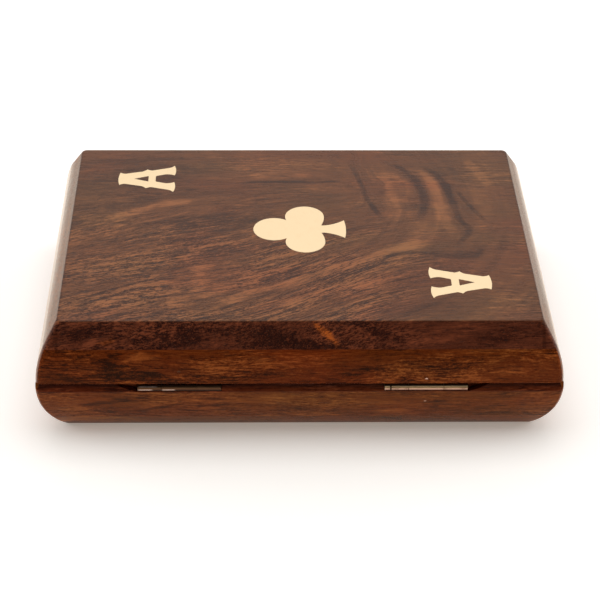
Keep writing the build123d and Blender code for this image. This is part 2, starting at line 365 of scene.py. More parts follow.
pore_stain = times(tree, pores, given["Pore depth"])
colour = mix_colour(tree, pore_stain, colour, given["Dark colour"])
feed(tree, out["Color"], colour)
feed(tree, out["Figure"], figure)
feed(tree, out["Pores"], pores)
relief = plus(tree, times(tree, fibres, 0.6), times(tree, grit, 0.5))
relief = minus(tree, relief, times(tree, dark_hair, 0.8))
feed(tree, out["Height"], minus(tree, relief, pores))
print("outputs:", ", ".join(socket.name for socket in out if socket.name))

# %% [markdown]
# ## Rosewood, part three: marks that this box has
#
# Some patches of figure belong to one place on one board: a dark cloud, a blond streak. Such a
# mark is a soft ellipse, turned along the grain, whose edge the grain's own noise makes ragged.
# It adds to the figure or takes away from it, so the fibres and pores run on through it.

# %% Group: figure mark
mark_group, given, out = new_group(
    "Figure mark",
    [
        ("Vector", "Vector", (0, 0, 0)),
        ("Centre", "Vector", (0, 0, 0)),
        ("Turn", "Float", 0.0),
        ("Half length", "Float", 10.0),
        ("Half width", "Float", 3.0),
        ("Ragged", "Float", 0.0),
        ("Strength", "Float", 0.3),
        ("Figure", "Float", 0.0),
    ],
    [("Figure", "Float")],
)
tree = mark_group


def add_to_figure(mask):
    strength = times(tree, mask, given["Strength"])
    feed(tree, out["Figure"], plus(tree, given["Figure"], strength))


local = vector_calc(tree, "SUBTRACT", given["Vector"], given["Centre"])
unturn = times(tree, given["Turn"], -1.0)
turned = place(tree, "ShaderNodeVectorRotate", {"Vector": local, "Angle": unturn},
               rotation_type="Z_AXIS").outputs[0]
size = join(tree, given["Half length"], given["Half width"], 1000.0)
away = vector_calc(tree, "LENGTH", vector_calc(tree, "DIVIDE", turned, size))
away = plus(tree, away, given["Ragged"])
add_to_figure(smooth_step(tree, away, 0.25, 1.25, 1.0, 0.0))
print("group:", mark_group.name)

# %% [markdown]
# Other marks are long and bent, like a dark growth line or a blond stripe. An ellipse is too
# stiff for those, and a painted image would have a fixed resolution. So such a line is drawn as
# a path: a curve tells how far across its middle lies at each place of its run. This group
# changes the figure close to that middle, and fades out at both ends.

# %% Group: traced line
traced_group, given, out = new_group(
    "Traced line",
    [
        ("Off centre", "Float", 0.0),
        ("Place", "Float", 0.0),
        ("Half width", "Float", 1.0),
        ("Ragged", "Float", 0.0),
        ("Strength", "Float", 0.3),
        ("Figure", "Float", 0.0),
    ],
    [("Figure", "Float")],
)
tree = traced_group
away = calc(tree, "DIVIDE", calc(tree, "ABSOLUTE", given["Off centre"]), given["Half width"])
away = plus(tree, away, times(tree, given["Ragged"], 0.4))
fade_in = smooth_step(tree, given["Place"], 0.0, 0.16)
fade_out = smooth_step(tree, given["Place"], 1.0, 0.84)
inside = times(tree, fade_in, fade_out)
add_to_figure(times(tree, smooth_step(tree, away, 0.35, 1.35, 1.0, 0.0), inside))
print("group:", traced_group.name)

# %% [markdown]
# ## The wood material
#
# Boards whose grain runs alike share a material. All are made from the same groups, each with its
# own direction of grain and its own colours. The wax is a satin gloss that the open pores break
# up. Its reflection is tinted a little, because old wax is yellow and the wood shows through it.
# The lid's two short sides are polished harder, so they get a clear coat that mirrors the pale
# room at a low angle.

# %% A fresh material in millimetres
def new_material(name):
    material = bpy.data.materials.new(name)
    material.use_nodes = True
    tree = material.node_tree
    return material, tree, tree.nodes["Principled BSDF"]


def object_millimetres(tree, turn=0.0):
    place_of = tree.nodes.new("ShaderNodeTexCoord").outputs["Object"]
    inputs = {"Vector": place_of, "Rotation": (0, 0, turn), "Scale": (1000, 1000, 1000)}
    return place(tree, "ShaderNodeMapping", inputs).outputs[0]


def bumped(tree, height, strength, distance):
    inputs = {"Height": height, "Strength": strength, "Distance": distance}
    return place(tree, "ShaderNodeBump", inputs).outputs["Normal"]


print("helpers: new_material, object_millimetres, bumped")

# %% [markdown]
# A mark is a row of numbers: its middle, its turn in degrees, half its length and width, and its
# strength, dark below zero and blond above. A traced line has half its width, its strength, and
# the points of its path. The marks are chained, so that each adds to what the last one left. A
# ragged edge keeps them from looking drawn.

# %% Marks and traced lines
def add_marks(tree, vector, ragged, marks, figure=0.0):
    for x, y, turn, half_length, half_width, strength in marks:
        figure = use_group(tree, mark_group, {
            "Vector": vector, "Centre": (x, y, 0), "Turn": math.radians(turn),
            "Half length": half_length, "Half width": half_width, "Ragged": ragged,
            "Strength": strength, "Figure": figure})["Figure"]
    return figure


def trace_lines(tree, run, cross, ragged, lines, figure):
    for half_width, strength, path in lines:
        first, last = path[0][0], path[-1][0]
        low, high = min(c for _, c in path) - 1.0, max(c for _, c in path) + 1.0
        spot = calc(tree, "DIVIDE", minus(tree, run, first), last - first)
        bent = place(tree, "ShaderNodeFloatCurve", {"Value": spot})
        points = bent.mapping.curves[0].points
        for _ in path[2:]:
            points.new(0.5, 0.5)
        for point, (r, c) in zip(points, path):
            point.location = ((r - first) / (last - first), (c - low) / (high - low))
        bent.mapping.update()
        middle = times(tree, bent.outputs[0], high - low)
        middle = plus(tree, middle, low)
        figure = use_group(tree, traced_group, {
            "Off centre": minus(tree, cross, middle), "Place": spot,
            "Half width": half_width, "Ragged": ragged, "Strength": strength,
            "Figure": figure})["Figure"]
    return figure


def ragged_edge(tree, grain, amount=2.0, fray=1.6):
    broad = vector_calc(tree, "MULTIPLY", grain, (0.2, 1.0, 1.0))
    broad = noise_value(tree, broad, 0.30, 4.0, 0.65)
    frayed = vector_calc(tree, "MULTIPLY", grain, (0.12, 1.0, 1.0))
    frayed = noise_value(tree, frayed, 1.3, 3.0, 0.65)
    return plus(tree, swing(tree, broad, amount), swing(tree, frayed, fray))


print("helpers: add_marks, trace_lines, ragged_edge")

# %% [markdown]
# The top ends in a rim, 48.5 mm in front of and behind the middle, where the chamfer starts. Marks
# of the hinged side are drawn in X and Z, as one sees it from there, and stop at that rim.

# %% Marks on the hinged side
rim_x, rim_y, rim_blur = 68.5, 48.5, 0.2


def near_side_marks(tree, vector, ragged, marks):
    parts = split(tree, vector)
    side = join(tree, parts["X"], parts["Z"])
    near = smooth_step(tree, parts["Y"], -(rim_y - rim_blur), -(rim_y + rim_blur))
    return times(tree, add_marks(tree, side, ragged, marks), near)


print("helper: near_side_marks")

# %% [markdown]
# The group's outputs now go to the shader. Dark wood is denser and takes a better polish, so the
# figure also steers the roughness, and open pores are rough. The bump is shallow, a few hundredths
# of a millimetre, because the surface was sanded and waxed.

# %% The wood in the shader
coat_roughness = 0.12


def finish_wood(tree, shader, wood, gloss):
    rough = smooth_step(tree, wood["Figure"], 0.1, 0.9, 0.24, 0.34)
    feed_all(tree, shader, {
        "Roughness": plus(tree, rough, times(tree, wood["Pores"], 0.25)),
        "Base Color": wood["Color"], "Specular IOR Level": gloss,
        "Specular Tint": (1.0, 0.80, 0.62, 1),
        "Normal": bumped(tree, wood["Height"], 0.6, 0.00006)})


def rosewood(name, turn=0.0, shift=(0, 0, 0), side_marks=(), gloss=0.2, darkened=(), coat=0.0,
             **inputs):
    material, tree, shader = new_material(name)
    vector = object_millimetres(tree, turn)
    shifted = vector_calc(tree, "ADD", vector, shift)
    grain = use_group(tree, wander_group, {"Vector": shifted})["Vector"]
    if side_marks:
        ragged = ragged_edge(tree, grain)
        inputs["Extra figure"] = near_side_marks(tree, vector, ragged, side_marks)
    wood = use_group(tree, figure_group, {"Vector": grain, "Band vector": grain, **inputs})
    finish_wood(tree, shader, wood, gloss)
    # Painted shade: on the hinged side, bands of height are tinted darker.
    if darkened:
        parts = split(tree, vector)
        near = smooth_step(tree, parts["Y"], -48.0, -50.0)
        colour = wood["Color"]
        for low, high, tint in darkened:
            shade = times(tree, smooth_step(tree, parts["Z"], low, high), near)
            colour = mix_colour(tree, shade, colour, tint, "MULTIPLY")
        feed(tree, shader.inputs["Base Color"], colour)
    if coat:
        feed_all(tree, shader, {"Coat Weight": coat, "Coat Roughness": coat_roughness})
    return material


print("helpers: finish_wood, rosewood")

# %% [markdown]
# The rails are sawn lengthwise, so their grain runs along each side, and at a corner it meets the
# next rail's in the mitre. Two of them turn the grain space by a quarter. Each also gets a shift,
# so that no two show the same piece of noise. The hinged side is seen best, and its marks are
# drawn one by one: place, turn, half length, half width and strength. Under the lid's edge the
# base gets painted shade, a darker tint over a band of heights.

# %% The rails and the bottom
quarter_turn = math.radians(90)
lid_rail_tones = {
    "Dark colour": (0.024, 0.005, 0.002, 1), "Body colour": (0.138, 0.024, 0.0034, 1),
    "Bright colour": (0.35, 0.088, 0.018, 1)}
base_rail_tones = {
    "Dark colour": (0.040, 0.010, 0.004, 1), "Body colour": (0.158, 0.036, 0.0058, 1),
    "Bright colour": (0.35, 0.110, 0.024, 1)}
# Painted shade under the lid's edge: two bands of height on the hinged side, tinted darker.
under_lid_shade = [(15.9, 16.5, (0.66, 0.50, 0.80, 1)), (17.0, 18.4, (0.36, 0.43, 0.85, 1))]
lid_flank_marks = [
    (-53, 25, 80, 6, 4.4, -0.50),
    (-46, 27.2, 4, 7, 1.6, 0.46),
    (-25, 23.8, -14, 9, 1.9, 0.34),
    (-9, 25.5, -8, 6, 1.4, 0.26),
    (-43, 22.4, -8, 7, 1.0, -0.36),
    (-39, 20, -4, 7, 0.9, -0.32),
    (16, 23, 12, 8, 1.3, -0.35),
    (52, 24, 16, 13, 1.8, 0.20),
    (58, 26, 20, 5, 1.0, -0.40),
    (6, 21, 0, 30, 0.9, 0.12),
    (-60, 25, 0, 20, 6.0, -0.18),
    (54, 22, 8, 14, 2.0, 0.20),
    (34, 26, 12, 12, 2.0, 0.15),
]
base_flank_marks = [
    (-56, 12, 8, 10, 1.0, -0.45),
    (-40, 10, 15, 9, 0.8, -0.35),
    (-15, 13, 3, 18, 1.2, 0.22),
    (20, 8, 0, 20, 1.5, 0.15),
    (40, 12, 60, 6, 2.0, -0.15),
]
print("marks on the hinged side:", len(lid_flank_marks) + len(base_flank_marks))

# %% [markdown]
# Front and back share a wood, and so do left and right.

# %% Five woods
lid_long_wood = rosewood("rosewood lid rails lengthwise", shift=(13, 5, 0),
                         side_marks=lid_flank_marks, gloss=0.07,
                         **{"Fine contrast": 1.6, "Mottle": 0.8}, **lid_rail_tones)
lid_short_wood = rosewood("rosewood lid rails crosswise", turn=quarter_turn, shift=(40, 9, 0),
                          gloss=0.25, coat=1.0, **lid_rail_tones)
base_long_wood = rosewood("rosewood base rails lengthwise", shift=(87, 31, 4),
                          side_marks=base_flank_marks, gloss=0.12, darkened=under_lid_shade,
                          **{"Fine contrast": 1.65}, **base_rail_tones)
base_short_wood = rosewood("rosewood base rails crosswise", turn=quarter_turn, shift=(5, 61, 0),
                           gloss=0.25, **base_rail_tones)
base_board_wood = rosewood("rosewood base board", shift=(200, 12, 7), gloss=0.16,
                           **base_rail_tones)
print("rails and bottom: five woods")

# %% [markdown]
# ## The lid's board
#
# The lid is the show piece. It was sawn from beside a fork in the trunk, so its lines don't run
# straight. On the left they rise gently. Towards the lower right they bend round a centre and
# climb steeply, and a dark seam divides them from the level lines at the top. A single stretched
# noise can't do that. So two ways of running are worked out for each point, straight and round,
# and a mask chooses between them. The result is still a grain space, so everything above works
# in it.

# %% The lid board's grain
fork_x, fork_y = -3.0, 12.0
arc_reach, arc_start, first_band = 30.0, 47.0, 13.0
lid_board_wood, tree, shader = new_material("rosewood lid board")
vector = object_millimetres(tree)
parts = split(tree, vector)
x, y, z = parts["X"], parts["Y"], parts["Z"]

rise = times(tree, x, smooth_step(tree, y, 24.0, -6.0, 0.02, 0.26))
straight_across = minus(tree, y, rise)
right_of_fork = minus(tree, x, fork_x)
above_fork = minus(tree, y, fork_y)
squash = smooth_step(tree, above_fork, -5.0, 15.0, 1.0, 0.85)
above_fork = times(tree, above_fork, squash)
distance = vector_calc(tree, "LENGTH", join(tree, right_of_fork, above_fork))
round_across = minus(tree, first_band, distance)
bearing = calc(tree, "ARCTAN2", above_fork, right_of_fork)
round_along = plus(tree, times(tree, bearing, arc_reach), arc_start)
print("the lid's grain bends round", (fork_x, fork_y))

# %% [markdown]
# In the far half the change from straight to round follows the dark seam, which leans and
# wobbles. In the near half it is gradual, from 45 mm left of the middle to 8 mm right of it.

# %% Straight here, round there
wobble = swing(tree, noise_value(tree, vector, 0.12, 3.0, 0.6), 14.0)
leaning = minus(tree, 25.9, times(tree, y, 0.2))
seam_x = plus(tree, leaning, wobble)
past_seam = smooth_step(tree, minus(tree, x, seam_x), -9.0, 9.0)
gradual = smooth_step(tree, x, -45.0, 8.0)
bend = mix_number(tree, smooth_step(tree, y, -2.0, 16.0), gradual, past_seam)
across = mix_number(tree, bend, straight_across, round_across)
along = mix_number(tree, bend, x, round_along)
board_grain = {"Vector": join(tree, along, across, z), "Wander": 5.0, "Ripple": 1.2}
bent_grain = use_group(tree, wander_group, board_grain)["Vector"]
print("bent grain for the broad bands")

# %% [markdown]
# The fine lines don't turn as far as the bands. They only climb to the right, most in the near
# half, so they get a simpler space: straight lines on a slope that grows and then levels out.

# %% The fine lines' own slope
climb = times(tree, calc(tree, "SMOOTH_MIN", x, 38.0, 14.0), 0.26)
climb = plus(tree, climb, smooth_step(tree, x, -26.0, 36.0, 0.0, 13.0))
climb = times(tree, climb, smooth_step(tree, y, 34.0, -16.0, 0.04, 1.0))
fine_lines = {"Vector": join(tree, x, minus(tree, y, climb), z), "Wander": 3.0, "Ripple": 0.9}
grain = use_group(tree, wander_group, fine_lines)["Vector"]
print("sloping grain for the fine lines")

# %% [markdown]
# The marks come in five lists, all in plain millimetres from the middle of the box's underside.
# The steep lines climb the board beside the fork, so their paths run in Y. The long lines run in
# X. The patches are ellipses. The last two lists lie on the chamfer of the hinged side, in X and
# Z, because that slope is seen from the side.

# %% The lid board's marks
steep_lines = [
    (1.0, -0.36, [(5, 26.3), (11, 24.2), (18, 21.9), (28, 20.2), (40, 17.6)]),
    (1.6, -0.32, [(4, 36.5), (11, 39.0), (18, 39.8), (24.5, 39), (32, 36.7), (38, 32), (43, 24)]),
    (2.2, 0.25, [(-8, 46), (-3, 47.2), (3, 45.8), (9, 44.6), (17, 44.2), (25, 43.0),
                 (32, 41.0), (39, 36.7)]),
    (1.3, -0.32, [(-11, 45.5), (-6, 49.5), (0, 52), (5.5, 49.6), (11, 49), (17, 48.2),
                  (29, 46), (40, 37.8)]),
    (2.4, -0.24, [(13, 48.5), (20, 48.0), (29, 47.0)]),
    (0.9, -0.28, [(3, 58.3), (9, 55.5), (15, 53), (24, 50)]),
    (1.9, 0.20, [(24, 61.5), (34, 58), (43, 54.5)]),
    (5.0, 0.17, [(3, 31), (10, 31), (22, 31), (36, 27)]),
    (1.6, 0.24, [(18, 35.2), (24, 35.5), (31, 33.5)]),
    (3.0, 0.14, [(13, 55), (20, 54.5), (27, 54)]),
]
long_lines = [
    (2.3, 0.44, [(-28, -46.7), (-22, -40), (-12, -33), (-3, -29), (5, -25.5), (11, -21),
                 (20, -16.7), (29, -11), (38, -7)]),
    (0.9, -0.36, [(0, -33.5), (7, -28.5), (14, -24.8), (22, -20.5), (30, -13.8), (43, -14)]),
    (1.6, 0.32, [(-6, -41), (0, -38), (6, -33.5), (14, -30), (22, -26.7), (30, -21)]),
    (0.5, -0.40, [(11, -33.5), (15, -33), (21, -32.6)]),
    (2.4, -0.24, [(38, -12), (46, -14.5), (57, -12)]),
    (2.0, 0.42, [(-59, 6.5), (-48, 11), (-40, 15), (-30, 15.8)]),
    (2.6, -0.18, [(-60, 12), (-50, 15.5), (-41, 19)]),
    (0.6, -0.55, [(-63, -38), (-53, -32), (-44, -28), (-33, -26.8)]),
    (0.6, -0.50, [(-64, -42), (-54, -36), (-45, -32), (-34, -30.5)]),
    (0.6, -0.50, [(-62, -45.5), (-50, -40), (-40, -36.5), (-31, -35)]),
    (1.1, 0.38, [(-63, -40), (-54, -34), (-44, -30), (-33, -28.6)]),
    (1.3, 0.36, [(-62, -44), (-52, -38.2), (-42, -34.5), (-32, -33)]),
    (0.5, -0.40, [(-29, -45.5), (-24, -43), (-19, -41)]),
    (0.6, -0.38, [(-15, -30.5), (-8, -29.6), (-3, -26.7), (2, -24)]),
    (0.5, -0.36, [(-16, -22), (-12, -22), (-8, -19)]),
    (0.7, -0.40, [(-18, 27.6), (-8, 28.2), (6, 28.0), (16, 28.6)]),
    (2.2, 0.18, [(-16, 31.2), (-6, 31.8), (6, 31.4)]),
]
print("traced lines:", len(steep_lines), "steep,", len(long_lines), "long")

# %% Patches on the board and its near chamfer
board_marks = [
    (0, 38, 0, 22, 8.0, 0.10),
    (32, -9.5, 18, 8, 2.8, 0.34),
    (-29, -27, 75, 8, 3.4, 0.38),
    (-3, -40, 20, 5, 2.2, 0.30),
    (20, -31, 22, 12, 3.6, 0.18),
    (60, -38, 10, 7, 6.0, 0.16),
    (42, -41, 6, 20, 5.0, -0.18),
    (-28, 2, 10, 22, 11.0, -0.24),
    (-61, -21, 12, 7, 4.0, 0.34),
    (-30, -36, 18, 14, 2.6, 0.16),
    (-14, -22, 22, 12, 2.4, 0.16),
    (-55, -47, 15, 12, 2.0, -0.20),
    (10, 24, 0, 12, 3.0, 0.12),
    (-8, 22, 0, 12, 3.0, 0.10),
    (-50, 33, 0, 26, 12.0, -0.29),
    (40, 2, 0, 24, 10.0, 0.08),
]
near_chamfer_marks = [
    (-60, 33.5, 5, 9, 2.2, -0.50),
    (-59, 31, 30, 2.6, 1.4, 0.80),
    (-34, 32.0, 10, 13, 2.6, -0.48),
    (-9, 32, -8, 13, 3.0, -0.60),
    (7.6, 33.3, -38, 6.5, 1.3, 0.40),
    (5, 30.3, -5, 10, 1.1, -0.50),
    (21, 34, -18, 9, 1.5, -0.50),
    (60, 33, 10, 12, 2.6, -0.28),
    (38, 33, 10, 14, 2.4, 0.20),
    (35, 31.5, 5, 16, 1.0, 0.15),
    (-20, 35, 5, 14, 0.8, 0.12),
]
fleck_marks = [(7.4, 33.0, -38, 5.6, 1.0, 0.85), (-54.5, 31.2, 10, 2.6, 1.0, 0.5)]
print("patches:", len(board_marks) + len(near_chamfer_marks) + len(fleck_marks))

# %% [markdown]
# The near half of the board was cut where the grain twists. Its fine figure is coarser and
# stronger there, and it fades towards the far edge and the right. The chamfer cuts the lines at a
# steep angle, so they show as crumbs instead of threads.

# %% The lid board's figure
ragged = ragged_edge(tree, grain, 2.6)
figure = trace_lines(tree, y, x, ragged, steep_lines, 0.0)
figure = trace_lines(tree, x, y, ragged, long_lines, figure)
figure = add_marks(tree, vector, ragged, board_marks, figure)
on_top = smooth_step(tree, y, -(rim_y + rim_blur), -(rim_y - rim_blur))
figure = times(tree, figure, on_top)
crumbs = vector_calc(tree, "MULTIPLY", vector, (0.6, 1.0, 1.0))
crumbled = swing(tree, noise_value(tree, crumbs, 1.0, 5.0, 0.75), 2.4)
crumbled = plus(tree, crumbled, times(tree, ragged, 0.6))
on_chamfer = near_side_marks(tree, vector, crumbled, near_chamfer_marks)
figure = plus(tree, figure, on_chamfer)
near_half = smooth_step(tree, y, 22.0, -24.0)
coarse = times(tree, near_half, smooth_step(tree, x, 50.0, -5.0, 0.22, 1.0))
# More painted glints on the near chamfer than on the top.
glint_speckle = smooth_step(tree, y, -(rim_y + rim_blur), -(rim_y - rim_blur), 0.80, 0.3)


def where_coarse(calm, twisted):
    return smooth_step(tree, coarse, 0.0, 1.0, calm, twisted)


# The chamfer's colours are darker than the top's: partly the wood's own tone, partly painted shade
# on a slope that faces away from the light.
def chamfer_or_top(on_the_chamfer, on_the_top):
    return mix_colour(tree, on_top, (*on_the_chamfer, 1), (*on_the_top, 1))


wood = use_group(tree, figure_group, {
    "Vector": grain, "Band vector": bent_grain, "Extra figure": figure,
    "Band width": 8.0, "Streak width": 1.7, "Contrast": 1.25, "Glint speckle": glint_speckle,
    "Fine contrast": where_coarse(1.15, 3.6), "Mottle": where_coarse(0.40, 0.75),
    "Dash depth": where_coarse(0.5, 0.8), "Hairlines": where_coarse(0.35, 0.7),
    "Ring lines": 0.5, "Hue drift": times(tree, on_top, 0.45),
    "Dark colour": chamfer_or_top((0.024, 0.007, 0.004), (0.036, 0.011, 0.007)),
    "Body colour": chamfer_or_top((0.100, 0.034, 0.012), (0.116, 0.040, 0.0165)),
    "Bright colour": chamfer_or_top((0.24, 0.085, 0.027), (0.30, 0.108, 0.040))})
finish_wood(tree, shader, wood, gloss=0.22)
print("the lid board's figure is laid")

# %% [markdown]
# The slopes at the near and far side are a little darker and redder than the top: partly the
# wood's own tone, partly painted shade, since they face away from the light. Two orange flecks lie
# on the near one, where lighter wood comes through. Along both ends the top's edge is a narrow
# darker line. Past that line the board's ends are polished like the lid's short rails, so the coat
# fades in there.

# %% The lid board's edges
# Painted shade and a redder tone on the slopes.
slope = smooth_step(tree, calc(tree, "ABSOLUTE", y), rim_y - rim_blur, rim_y + 0.3)
colour = mix_colour(tree, slope, wood["Color"], (0.90, 0.62, 0.78, 1), "MULTIPLY")
fleck = near_side_marks(tree, vector, crumbled, fleck_marks)
threads = smooth_step(tree, wood["Figure"], 0.35, 1.1, 0.35, 1.0)
fleck = times(tree, fleck, threads)
colour = mix_colour(tree, fleck, colour, (0.56, 0.120, 0.016, 1))
from_middle = calc(tree, "ABSOLUTE", x)
edge_line = times(tree, smooth_step(tree, from_middle, rim_x - 0.6, rim_x - 0.1),
                 smooth_step(tree, from_middle, rim_x + 0.9, rim_x + 0.3, 0.0, 0.8))
colour = mix_colour(tree, edge_line, colour, (0.6, 0.5, 0.45, 1), "MULTIPLY")
feed_all(tree, shader, {
    "Base Color": colour, "Coat Weight": smooth_step(tree, from_middle, 70.4, 73.6),
    "Coat Roughness": coat_roughness})
print("the lid board is dressed")

# %% [markdown]
# ## Brass and nickel
#
# Brushed metal is one noise, stretched along the brush strokes, that moves both the colour and
# the roughness. Over it lies a cloud of tarnish. The brass is a pale one, rich in zinc. It was
# sanded level with the wood, from the hinged side to the far one, so its strokes run in Y. The
# hinges are plated with nickel, and brushed along the barrel, in X.

# %% Brass and nickel
def brushed_metal(name, colour, darker, roughness, brush_axis=(1.0, 0.06, 1.0), patina=0.35):
    material, tree, shader = new_material(name)
    vector = object_millimetres(tree)
    brushed = vector_calc(tree, "MULTIPLY", vector, brush_axis)
    lines = noise_value(tree, brushed, 9.0, 3.0, 0.6)
    cloud = noise_value(tree, vector, 0.35, 4.0, 0.6)
    stain = smooth_step(tree, cloud, 0.45, 0.75, 0.0, patina)
    tone = mix_colour(tree, stain, colour, darker)
    tone = mix_colour(tree, times(tree, lines, 0.12), tone, darker)
    rough = plus(tree, times(tree, lines, 0.18), roughness)
    feed_all(tree, shader, {
        "Base Color": tone, "Metallic": 1.0,
        "Roughness": plus(tree, rough, times(tree, stain, 0.3)),
        "Normal": bumped(tree, lines, 0.25, 0.00002)})
    return material


brass = brushed_metal("pale brass", (0.92, 0.735, 0.485, 1), (0.80, 0.61, 0.38, 1), 0.42,
                      patina=0.12)
nickel = brushed_metal("worn nickel", (0.50, 0.37, 0.28, 1), (0.13, 0.07, 0.045, 1), 0.20,
                       (0.06, 1.0, 1.0), 0.6)
print("metals:", brass.name, nickel.name)

# %% [markdown]
# The plating has worn unevenly. The right barrel keeps it. Its upper half is darker, painted shade
# where the lid shades it. Its lower half and top edge get a painted highlight. A narrow groove
# near its left end is painted as a dark line of shadow, not cut. The left barrel is brown with
# wax, with a few spots of painted highlight. Painted shade darkens the gaps above and below both.
# All of that is laid over the brushed metal as tones that depend on the place, X along the seam
# and Z up.

# %% Wear on the two barrels
tree = nickel.node_tree
shader = tree.nodes["Principled BSDF"]
parts = split(tree, object_millimetres(tree))
x, z = parts["X"], parts["Z"]
upper = smooth_step(tree, z, 17.6, 17.85)
gap_shade_colour = (0.03, 0.014, 0.009, 1)


def close_to(middle, reach, soft):
    away = calc(tree, "ABSOLUTE", minus(tree, x, middle))
    return smooth_step(tree, away, reach + soft, reach)


tone = shader.inputs["Base Color"].links[0].from_socket
# On the right barrel: painted shade on the upper half, painted highlight on the lower half.
right_tone = mix_colour(tree, upper, (1.25, 1.10, 1.15, 1), (0.42, 0.37, 0.25, 1))
# Painted highlight along the right barrel's top edge.
top_edge_highlight = smooth_step(tree, z, 18.0, 18.2)
right_tone = mix_colour(tree, top_edge_highlight, right_tone, (1.8, 1.8, 1.4, 1))
right_tone = mix_colour(tree, 1.0, tone, right_tone, "MULTIPLY")
# The groove is not cut: its shadow is painted as a dark line.
groove_shadow = close_to(25.65, 0.15, 0.2)
right_tone = mix_colour(tree, groove_shadow, right_tone, (0.05, 0.03, 0.02, 1))
# Painted highlights on the left barrel, below its middle and in one spot above it.
wear_and_glints = calc(tree, "MAXIMUM", close_to(-44.0, 1.3, 1.2), close_to(-37.4, 1.3, 0.9))
wear_and_glints = times(tree, wear_and_glints, smooth_step(tree, z, 17.6, 17.3))
above = smooth_step(tree, z, 18.1, 18.3, 0.0, 0.6)
above = times(tree, close_to(-43.2, 2.0, 1.0), above)
wear_and_glints = calc(tree, "MAXIMUM", wear_and_glints, above)
left_tone = mix_colour(tree, upper, (0.085, 0.040, 0.024, 1), (0.10, 0.052, 0.028, 1))
left_tone = mix_colour(tree, wear_and_glints, left_tone, (0.78, 0.60, 0.53, 1))
tone = mix_colour(tree, smooth_step(tree, x, 5.0, -5.0), right_tone, left_tone)
# Painted shade at the gaps above and below the barrels.
below, above = smooth_step(tree, z, 16.90, 16.72), smooth_step(tree, z, 18.30, 18.50)
gap_shade = calc(tree, "MAXIMUM", below, above)
feed(tree, shader.inputs["Base Color"], mix_colour(tree, gap_shade, tone, gap_shade_colour))
print("the barrels are worn")

# %% [markdown]
# The nails have no heads: what shows is the wire's end, filed flush, bright in the middle and
# dirty round the rim. In each row the left one is waxed over. An end is found by its distance
# from the nail's axis, in X and Z, so one material serves both nails of a row.

# %% Nail ends
def nail_end_metal(centres, radius=0.5):
    material, tree, shader = new_material("nail ends")
    vector = vector_calc(tree, "MULTIPLY", object_millimetres(tree), (1.0, 0.0, 1.0))
    distances = [vector_calc(tree, "DISTANCE", vector, (x, 0.0, z)) for x, z in centres]
    nearest = calc(tree, "MINIMUM", *distances)
    scratched = noise_value(tree, vector, 5.0, 3.0, 0.6)
    edge = plus(tree, nearest, swing(tree, scratched, 0.25))
    rim = smooth_step(tree, edge, radius * 0.62, radius * 0.95)
    waxed = smooth_step(tree, split(tree, vector)["X"], 5.0, -5.0, 0.0, 0.96)
    dirt = calc(tree, "MAXIMUM", rim, waxed)
    tone = mix_colour(tree, dirt, (0.72, 0.48, 0.38, 1), (0.09, 0.030, 0.011, 1))
    feed_all(tree, shader, {
        "Base Color": tone, "Metallic": smooth_step(tree, dirt, 0.2, 0.9, 1.0, 0.2),
        "Roughness": smooth_step(tree, scratched, 0.3, 0.7, 0.42, 0.55),
        "Specular IOR Level": 0.0})
    return material


lid_nail_metal = nail_end_metal([(-34.3, 23.03), (35.7, 20.60)])
base_nail_metal = nail_end_metal([(-34.3, 12.69), (35.7, 12.69)], 0.42)
print("nail ends: four")

# %% [markdown]
# ## Felt
#
# Felt is matted wool without a weave. Two noises make it: clumps of a millimetre or so, and hairs
# that a strong distortion curls. A third one, centimetres wide, is where cards have rubbed the
# nap. Sheen adds the faint light of hairs that stand up at the edges, tinted like the dye.

# %% Felt
felt, tree, shader = new_material("maroon felt")
vector = object_millimetres(tree)
matted = noise_value(tree, vector, 1.6, 5.0, 0.7, 1.5)
hairs = noise_value(tree, vector, 7.0, 3.0, 0.7, 3.0)
wear_and_glints = noise_value(tree, vector, 0.06, 3.0, 0.5)
clumps = smooth_step(tree, matted, 0.3, 0.7)
loose_hairs = smooth_step(tree, hairs, 0.55, 0.8, 0.0, 0.5)
worn_nap = smooth_step(tree, wear_and_glints, 0.45, 0.7, 0.0, 0.25)
tone = mix_colour(tree, clumps, (0.13, 0.010, 0.018, 1), (0.27, 0.026, 0.042, 1))
tone = mix_colour(tree, loose_hairs, tone, (0.40, 0.06, 0.09, 1))
tone = mix_colour(tree, worn_nap, tone, (0.33, 0.05, 0.07, 1))
nap = plus(tree, matted, times(tree, hairs, 0.6))
feed_all(tree, shader, {
    "Base Color": tone, "Roughness": smooth_step(tree, matted, 0.3, 0.7, 0.95, 0.85),
    "Specular IOR Level": 0.1, "Sheen Weight": 0.25, "Sheen Roughness": 0.5,
    "Sheen Tint": (0.75, 0.30, 0.36, 1), "Normal": bumped(tree, nap, 0.7, 0.00025)})
print("felt is ready")

# %% [markdown]
# ## The wooden pieces
#
# A CAD mesh comes as loose flat triangles, so its curved belly would show facets. Each wooden
# piece is copied, its corners are merged, and it is shaded smooth except where two faces meet at
# a clear angle. The shape stays exactly the CAD's. The hinges and nails are made in the same way.

# %% Smooth copies of CAD meshes
bodies = frame["record"]["behaviour"]["bodies"]
piece_bodies = {name: body for body, names in bodies.items() for name in names}
edge_degrees, merge_distance = 32, 1e-6


def add_object(name, shape, material):
    mesh = bpy.data.meshes.new(name)
    shape.to_mesh(mesh)
    shape.free()
    mesh.materials.append(material)
    added = bpy.data.objects.new(name, mesh)
    bpy.context.scene.collection.objects.link(added)
    return added


